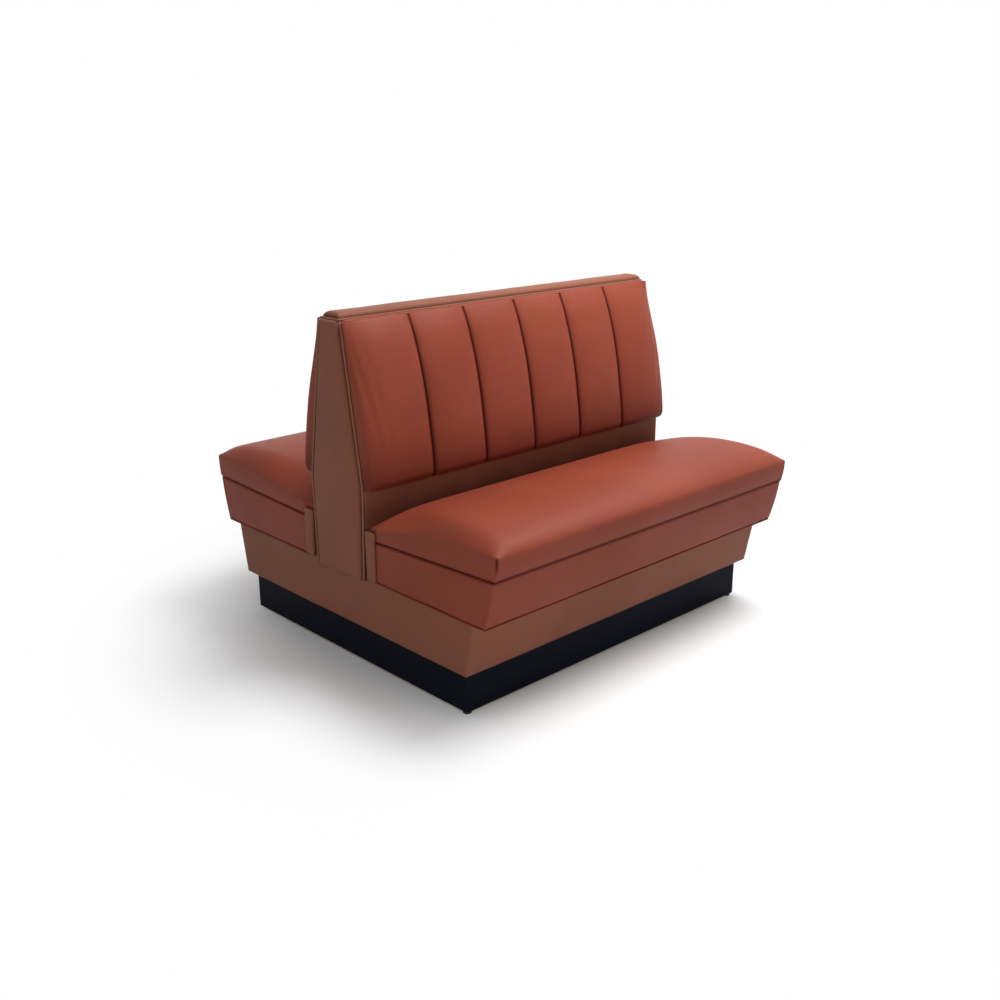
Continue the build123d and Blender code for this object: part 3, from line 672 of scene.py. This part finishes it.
strip_low, strip_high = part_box("crumb_strip_front")
filler_low, filler_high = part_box("end_fillers")
beside_welt = end_welt_radius - 0.0010
filler_form = block(
    (filler_low.x, -filler_depth, filler_low.z), (-body_end, -panel_foot_depth, filler_high.z)
)
welt_side = (0, -panel_knee_depth - welt_gap - beside_welt, pad_foot)
slice_off(filler_form, welt_side, Vector((0, 1, -lower_lean)))
filler_edges = edges_where(filler_form, lambda at: at.x < filler_low.x + 0.001)
round_over(filler_form, filler_edges, radius=0.0028, steps=4)
dice(filler_form, pitch=0.009)
swell(filler_form, (-1, 0, 0), amount=0.0012, across="yz")
soften(filler_form, height=0.0007, size=0.07, seed=29)
twin(filler_form, "y")
twin(filler_form, "x")
fillers = piece("end_filler_vinyl", filler_form, brown, "carcass", ["end_fillers"])

strip_form = block((strip_low.x, strip_low.y, filler_high.z), strip_high)
strip_edges = edges_where(strip_form, lambda at: at.y < strip_low.y + 0.001)
round_over(strip_form, strip_edges, radius=0.0015, steps=3)
dice(strip_form, pitch=0.016)
soften(strip_form, height=0.0006, size=0.15, seed=31)
tuck_half = body_end - 0.0003
tuck = block((-tuck_half, strip_low.y, strip_low.z), (tuck_half, strip_high.y, filler_high.z))
join(strip_form, tuck)
crumb_front = piece(
    "crumb_strip_front_vinyl", strip_form, brown, "carcass", ["crumb_strip_front"]
)
seat_meets = seat_height(-strip_low.y) + 0.045
# Painted shade over the lower part of the crumb strip, down where it meets the cushion.
paint_shade_mark(crumb_front, lambda at: max(0.0, at.z - seat_meets), reach=0.085, strength=0.60)
opposite(crumb_front, "crumb_strip_rear_vinyl", "y", "carcass", ["crumb_strip_rear"])

# The cap. A padded strip of brown vinyl lies along the top of the back, with piping all
# round its foot. It hides the heads of the pads and panels.

cap_low, cap_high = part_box("cap_cover")
cap_form = block(cap_low, cap_high)
cap_top_edges = edges_where(cap_form, lambda at: at.z > cap_high.z - 0.001)
round_over(cap_form, cap_top_edges, radius=0.0155, steps=8)
dice(cap_form, pitch=0.009)
swell(cap_form, (0, 0, 1), amount=0.0012, across="y")
soften(cap_form, height=0.0008, size=0.09, seed=37)
cap = piece("cap_vinyl", cap_form, brown, "carcass", ["cap_cover"])
# Painted shade over the lower part of the cap, above its piping.
paint_shade_mark(cap, lambda at: max(0.0, at.z - cap_low.z - 0.005), reach=0.0085, strength=0.55)

cap_welt_radius = 0.0025
cap_x = cap_high.x + cap_welt_radius
cap_y = cap_high.y + cap_welt_radius
cap_z = cap_low.z + cap_welt_radius
cap_route = [
    (-cap_x, -cap_y, cap_z), (cap_x, -cap_y, cap_z), (cap_x, cap_y, cap_z), (-cap_x, cap_y, cap_z),
]
cap_piping = piping([cap_route], cap_welt_radius, bend=0.007, closed=True)
piece("cap_piping", cap_piping, brown_welt, "carcass", ["cap_welt"])

# The back pads. Six channels are sewn through the red vinyl and its foam, and the cover
# is pulled round a board. They swell from the cap downwards and roll under at the foot.

pad_low, pad_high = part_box("back_pad_cover_front")
pad_half = pad_high.x
pad_height = cap_low.z - pad_low.z
pad_depth = 0.054
pad_foot_radius = 0.022
pad_end_radius = 0.007
back_foot_depth = 0.110
back_head_depth = 0.046
seam_step = 0.182
seams = [-pad_half] + [seam_step * i for i in (-2, -1, 0, 1, 2)] + [pad_half]
crest_line = (
    (0, 0.72), (0.05, 0.86), (0.14, 0.92), (0.25, 0.95), (0.45, 0.96), (0.58, 0.92),
    (0.70, 0.84), (0.80, 0.71), (0.88, 0.56), (0.94, 0.38), (0.98, 0.22), (1, 0.13),
)
seam_line = (
    (0, 0.55), (0.05, 0.62), (0.14, 0.69), (0.25, 0.71), (0.45, 0.71), (0.58, 0.66),
    (0.70, 0.57), (0.80, 0.45), (0.88, 0.34), (0.94, 0.23), (0.98, 0.15), (1, 0.11),
)
end_line = (
    (0, 0.52), (0.05, 0.60), (0.14, 0.65), (0.25, 0.66), (0.45, 0.61), (0.58, 0.50),
    (0.70, 0.34), (0.80, 0.22), (0.88, 0.14), (0.94, 0.11), (0.98, 0.10), (1, 0.10),
)


def through(stations, at):
    """A smooth line through stations, like a bent batten."""
    last = len(stations) - 2
    i = max(k for k in range(last + 1) if k == 0 or stations[k][0] <= at)
    (low, a), (high, b) = stations[i], stations[i + 1]
    before, after = stations[max(i - 1, 0)], stations[min(i + 2, last + 1)]
    step = high - low
    rise_in = (b - before[1]) / (high - before[0]) * step
    rise_out = (after[1] - a) / (after[0] - low) * step
    t = (at - low) / step
    lift = (2 * t**3 - 3 * t**2 + 1) * a + (t**3 - 2 * t**2 + t) * rise_in
    return lift + (3 * t**2 - 2 * t**3) * b + (t**3 - t**2) * rise_out


def channel(x, share):
    """Thickness of the sewn pad at a place, as a share of its depth."""
    crest = through(crest_line, share)
    seam = through(seam_line, share)
    for low, high in zip(seams, seams[1:]):
        if x <= high + 1e-9:
            across = 2 * (x - low) / (high - low) - 1
            outer = across * (low + high) > 0 and high - low > seam_step + 0.001
            if outer:
                foot = through(end_line, share)
                return foot + (crest - foot) * (1 - abs(across) ** 2.6)
            return seam + (crest - seam) * (1 - 0.35 * across**2 - 0.65 * abs(across) ** 9)
    return seam


def inflate(made, held, pressure, cap):
    """Lets air into a sewn cover, which swells where nothing holds it and rests on its foam."""
    last_frame = 12
    evenings = 6
    group = made.vertex_groups.new(name="held")
    for point in made.data.vertices:
        weight = held(point.co)
        if weight > 0:
            group.add([point.index], weight, "REPLACE")
    start = [point.co.copy() for point in made.data.vertices]
    outward = [normal.vector.copy() for normal in made.data.vertex_normals]
    cloth = made.modifiers.new("cover", "CLOTH")
    cloth.settings.quality = 5
    cloth.settings.mass = 3.0
    cloth.settings.tension_stiffness = 80
    cloth.settings.compression_stiffness = 80
    cloth.settings.shear_stiffness = 25
    cloth.settings.bending_stiffness = 0.6
    cloth.settings.use_pressure = True
    cloth.settings.uniform_pressure_force = pressure
    cloth.settings.vertex_group_mass = "held"
    cloth.settings.effector_weights.gravity = 0
    cloth.collision_settings.use_collision = False
    cloth.point_cache.frame_start = 1
    cloth.point_cache.frame_end = last_frame
    for frame_number in range(1, last_frame + 1):
        bpy.context.scene.frame_set(frame_number)
    swollen = made.evaluated_get(bpy.context.evaluated_depsgraph_get()).data
    reached = [point.co.copy() for point in swollen.vertices]
    made.modifiers.remove(cloth)
    made.vertex_groups.remove(group)
    bpy.context.scene.frame_set(1)
    free = [held(here) == 0 for here in start]
    rises = [max(0.0, (there - here).dot(away)) for here, there, away in zip(start, reached, outward)]
    rises = [cap * math.tanh(rise / cap) * is_free for rise, is_free in zip(rises, free)]
    pairs = [tuple(edge.vertices) for edge in made.data.edges]
    for evening in range(evenings):
        sums = rises[:]
        counts = [1] * len(rises)
        for a, b in pairs:
            sums[a] += rises[b]
            sums[b] += rises[a]
            counts[a] += 1
            counts[b] += 1
        rises = [total / count * is_free for total, count, is_free in zip(sums, counts, free)]
    for point, here, rise, away in zip(made.data.vertices, start, rises, outward):
        point.co = here + away * rise


def refine(made):
    """One smooth subdivision, applied."""
    smooth = made.modifiers.new("smooth", "SUBSURF")
    smooth.levels = 1
    smooth.render_levels = 1
    finer = bpy.data.meshes.new_from_object(made.evaluated_get(bpy.context.evaluated_depsgraph_get()))
    made.modifiers.remove(smooth)
    coarse = made.data
    finer.name = coarse.name
    made.data = finer
    bpy.data.meshes.remove(coarse)
    made.data.shade_smooth()


def end_face_edge(edge):
    """Tests for an edge round an end of the pad, but for those at its head and along its board."""
    a, b = [end.co for end in edge.verts]
    on_one_end = a.x * b.x > 0 and min(abs(a.x), abs(b.x)) > pad_half - 1e-5
    return on_one_end and min(a.z, b.z) < pad_height - 1e-5 and min(a.y, b.y) < -1e-5


def board_depth(share):
    """How far the leaning board is from the middle of the booth, at a share of the pad's height."""
    return back_foot_depth + (back_head_depth - back_foot_depth) * share


pad_form = block((-pad_half, -pad_depth, 0), (pad_half, 0, pad_height))
foot_edge = edges_where(pad_form, lambda at: at.y < 0.001 - pad_depth and at.z < 0.001)
round_over(pad_form, foot_edge, radius=pad_foot_radius, steps=6)
pad_end_edges = [edge for edge in pad_form.edges if end_face_edge(edge)]
round_over(pad_form, pad_end_edges, radius=pad_end_radius, steps=4)
columns = 22
rows = 52
layers = 4
cuts = seams[1:-1]
for low, high in zip(seams, seams[1:]):
    cuts += [low + (high - low) * (1 - math.cos(math.pi * i / columns)) / 2 for i in range(1, columns)]
saw(pad_form, "x", sorted(cuts))
saw(pad_form, "z", [pad_height * i / rows for i in range(1, rows)])
saw(pad_form, "y", [-pad_depth * i / layers for i in range(1, layers)])
bmesh.ops.remove_doubles(pad_form, verts=pad_form.verts, dist=1e-5)
fold_inboard = 0.060
fold_slant = 0.045
fold_reach = 0.028
fold_height = 0.0024
fold_length = 0.027
for point in pad_form.verts:
    share = point.co.z / pad_height
    inboard = pad_half - abs(point.co.x)
    drawn_in = inboard + fold_slant * share - fold_inboard
    slack = math.sin(math.pi * share) * math.exp(-((drawn_in / fold_reach) ** 2))
    fold = fold_height * slack * math.cos(2 * math.pi * drawn_in / fold_length)
    stand = point.co.y * (channel(point.co.x, share) + fold / pad_depth)
    point.co.y = stand - board_depth(share)
    point.co.z += pad_low.z
pad_front = piece(
    "back_pad_front_vinyl", pad_form, red, "carcass", ["back_pad_cover_front"]
)


def seam_gap(x):
    """How far a place is from the nearest sewn seam of the pad."""
    return min(abs(x - seam) for seam in seams[1:-1])


def pad_held(at):
    """The seams, the back and the head of a pad stay where they are sewn or stapled."""
    share = (at.z - pad_low.z) / pad_height
    if -at.y - board_depth(share) < 0.002 or share > 0.995:
        return 1.0
    return 1.0 if seam_gap(at.x) < 0.0004 and share > 0.02 else 0.0


inflate(pad_front, pad_held, pressure=4.0, cap=0.006)
refine(pad_front)


def pad_seam_gap(at):
    """How far the pad's face is from its seams, whose marks get narrower towards the head."""
    share = (at.z - pad_low.z) / pad_height
    on_face = -at.y - board_depth(share) > 0.003
    return seam_gap(at.x) * (1 + 1.2 * share) if on_face else 1.0


# Painted shade along the pad's sewn seams, wider towards the foot.
paint_shade_mark(pad_front, pad_seam_gap, reach=0.0135)
# Painted shade towards the pad's foot, where it rolls under, darker downwards.
paint_shade_mark(pad_front, lambda at: at.z - pad_low.z, reach=0.125, strength=0.50)
wrap_front = 0.0522
wrap_back = 0.0363
wrap_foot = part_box("back_board_front")[1].z
wrap_head = wrap_foot + 0.0017
wrap_half = -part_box("end_panel_board_left")[1].x - 0.0015
wrap_form = block((-wrap_half, -wrap_front, wrap_foot), (wrap_half, -wrap_back, wrap_head))
wrap_edge = edges_where(wrap_form, lambda at: at.y < 0.0002 - wrap_front and at.z > wrap_head - 0.0007)
round_over(wrap_form, wrap_edge, radius=0.0014, steps=3)
wrapped = bmesh.new()
wrapped.from_mesh(pad_front.data)
join(wrapped, wrap_form)
bmesh.ops.recalc_face_normals(wrapped, faces=wrapped.faces)
wrapped.to_mesh(pad_front.data)
wrapped.free()
pad_rear = opposite(pad_front, "back_pad_rear_vinyl", "y", "carcass", ["back_pad_cover_rear"])

# The seat cushions. A crowned block of foam on a board is covered in red vinyl: one
# panel over the top and front, and a boxed panel sewn in at each end.

seat_half = 0.564
seat_rear = 0.118
seat_front = 0.581
top_line = (
    (0.118, 0.044), (0.131, 0.056), (0.160, 0.069), (0.204, 0.081), (0.283, 0.097), (0.360, 0.104),
    (0.420, 0.104), (0.474, 0.100), (0.520, 0.093), (0.547, 0.085), (0.566, 0.076), (0.581, 0.062),
)
boxing_line = (
    (0.118, 0.030), (0.158, 0.035), (0.255, 0.046), (0.360, 0.056), (0.459, 0.063), (0.522, 0.064),
    (0.581, 0.061),
)
end_roll_line = (
    (0.118, 0.200), (0.204, 0.140), (0.283, 0.100), (0.360, 0.075), (0.474, 0.062), (0.581, 0.060),
)


def cushion_height(x, depth):
    """Height of the cushion over its board: a boxed rim, and a crown that rolls up from it."""
    rim = through(boxing_line, depth)
    full = through(top_line, depth)
    reach = through(end_roll_line, depth)
    inward = min(1.0, (seat_half - abs(x)) / reach)
    return rim + (full - rim) * (1 - (1 - inward) ** 2.4)


blank_height = 0.06
seat_form = block((-seat_half, -seat_front, 0), (seat_half, -seat_rear, blank_height))
dice(seat_form, pitch=0.0085)
foot_tuck = 0.010
foot_clear = 0.0003
half_between_fillers = 0.5567
for point in seat_form.verts:
    share = point.co.z / blank_height
    x = point.co.x
    depth = -point.co.y
    rise = cushion_height(x, depth) * share
    if depth > seat_front - 1e-4:
        depth -= foot_tuck * (1 - share) ** 2
    point.co.z = seat_height(depth) + foot_clear + rise
    point.co.y = -depth
    if depth < filler_depth + 0.004:
        point.co.x = max(-half_between_fillers, min(half_between_fillers, x))
seat_cover = piece(
    "seat_cover_front_vinyl", seat_form, red, "seat_front", ["seat_cover_front"]
)


def seat_held(at):
    """The foot of the cover is stapled under its board, and its rear side is held."""
    if at.z - seat_height(-at.y) < 0.003:
        return 1.0
    return 1.0 if at.y > -seat_rear - 0.001 else 0.0


inflate(seat_cover, seat_held, pressure=3.0, cap=0.006)
refine(seat_cover)


def seat_seam_gap(at):
    """How far a place is from the sewn front corners and from the foot of the cover."""
    corner = math.hypot(abs(at.x) - seat_half, at.y + seat_front) - 0.001
    rim = through(boxing_line, min(seat_front, max(seat_rear, -at.y)))
    lift = at.z - seat_height(-at.y)
    if lift > rim + 0.004:
        corner = 1.0
    on_front = at.y < 0.004 - seat_front
    return min(corner, lift - (0.004 if on_front else 0.0006))


# Painted shade along the sewn front corners of the cover and in the gap at its foot.
paint_shade_mark(seat_cover, seat_seam_gap, reach=0.0060)
seat_cover_rear = opposite(
    seat_cover, "seat_cover_rear_vinyl", "y", "seat_rear", ["seat_cover_rear"]
)

cell_tone, foam_tone = tone(0.72, 0.62, 0.36), tone(0.82, 0.74, 0.50)
foam = Finish("foam", roughness=0.95)
foam_cells = foam.cloud(0.002, foam.place())
foam.feed("Base Color", foam.blend(foam_cells, cell_tone, foam_tone))
foam.relief(foam_cells, depth=0.0005)
dress(["seat_foam_front", "seat_foam_rear", "back_pad_foam_front", "back_pad_foam_rear"], foam.material)

# The setting. A pale floor keeps the booth's shadow and fades into a white surround, and
# large soft lamps light the booth from above and from its front left corner.

floor_form = bmesh.new()
bmesh.ops.create_grid(floor_form, x_segments=2, y_segments=2, size=30)
floor_mesh = bpy.data.meshes.new("floor")
floor_form.to_mesh(floor_mesh)
floor_form.free()
floor = bpy.data.objects.new("floor", floor_mesh)
bpy.context.scene.collection.objects.link(floor)
pale = Finish("pale_floor", roughness=0.85)
path = pale.node("LightPath")
seen = path.shade("Is Camera Ray") + path.shade("Is Glossy Ray") + path.shade("Is Transmission Ray")
floor_tones = tone(0.70, 0.70, 0.71), tone(0.93, 0.93, 0.93)
pale.feed("Base Color", pale.blend(seen.between(0.0, 0.5), *floor_tones))
shadow_reach, white_from = 0.55, 1.25
away = pale.node("VectorMath", {"operation": "LENGTH"}, {0: pale.place()}).shade("Value")
faded = away.between(shadow_reach, white_from)
white = pale.node("Emission", sockets={"Color": tone(1, 1, 1), "Strength": 1.0})
mixed = pale.node("MixShader", sockets={0: seen.between(0.0, 0.5) * faded})
pale.tree.links.new(pale.shader.outputs["BSDF"], mixed.made.inputs[1])
pale.tree.links.new(white.made.outputs["Emission"], mixed.made.inputs[2])
pale.tree.links.new(mixed.made.outputs["Shader"], pale.tree.nodes["Material Output"].inputs["Surface"])
floor_mesh.materials.append(pale.material)

world = bpy.data.worlds.new("surround")
bpy.context.scene.world = world
world.use_nodes = True
air = world.node_tree
surround = air.nodes["Background"]
surround.inputs["Color"].default_value = tone(1, 1, 1)
surround.inputs["Strength"].default_value = 0.36
backdrop = air.nodes.new("ShaderNodeBackground")
backdrop.inputs["Color"].default_value = tone(1, 1, 1)
backdrop.inputs["Strength"].default_value = 1.0


def either(first, second):
    """A mark that is 1 where either of two marks is."""
    added = air.nodes.new("ShaderNodeMath")
    added.operation = "ADD"
    added.use_clamp = True
    air.links.new(first, added.inputs[0])
    air.links.new(second, added.inputs[1])
    return added.outputs["Value"]


ray = air.nodes.new("ShaderNodeLightPath").outputs
shiny = either(ray["Is Glossy Ray"], ray["Is Transmission Ray"])
choose = air.nodes.new("ShaderNodeMixShader")
air.links.new(either(ray["Is Camera Ray"], shiny), choose.inputs[0])
air.links.new(surround.outputs["Background"], choose.inputs[1])
air.links.new(backdrop.outputs["Background"], choose.inputs[2])
air.links.new(choose.outputs["Shader"], air.nodes["World Output"].inputs["Surface"])


def softbox(name, place, aim, width, height, watts):
    """A large soft lamp that looks at one point."""
    lamp = bpy.data.lights.new(name, "AREA")
    lamp.shape = "RECTANGLE"
    lamp.size = width
    lamp.size_y = height
    lamp.energy = watts
    holder = bpy.data.objects.new(name, lamp)
    holder.location = place
    holder.rotation_euler = (Vector(aim) - Vector(place)).to_track_quat("-Z", "Y").to_euler()
    bpy.context.scene.collection.objects.link(holder)


softbox("overhead", (0.8, -0.7, 2.9), aim=(0.1, -0.2, 0.4), width=1.5, height=1.25, watts=91)
softbox("front_left", (-2.3, -2.5, 1.2), aim=(-0.3, -0.3, 0.3), width=1.4, height=1.2, watts=14)
softbox("front_right", (1.2, -3.2, 1.1), aim=(0, 0, 0.2), width=1.6, height=1.0, watts=3)

camera_turn = math.radians(43.8)
camera_dip = math.radians(18.0)
lens = bpy.data.cameras.new("camera")
lens.lens = 40.6
lens.sensor_width = 36.0
camera = bpy.data.objects.new("camera", lens)
camera.location = (-2.141, -2.235, 1.321)
camera.rotation_euler = (math.pi / 2 - camera_dip, 0, -camera_turn)
bpy.context.scene.collection.objects.link(camera)
bpy.context.scene.camera = camera
bpy.context.scene.view_settings.view_transform = "Standard"
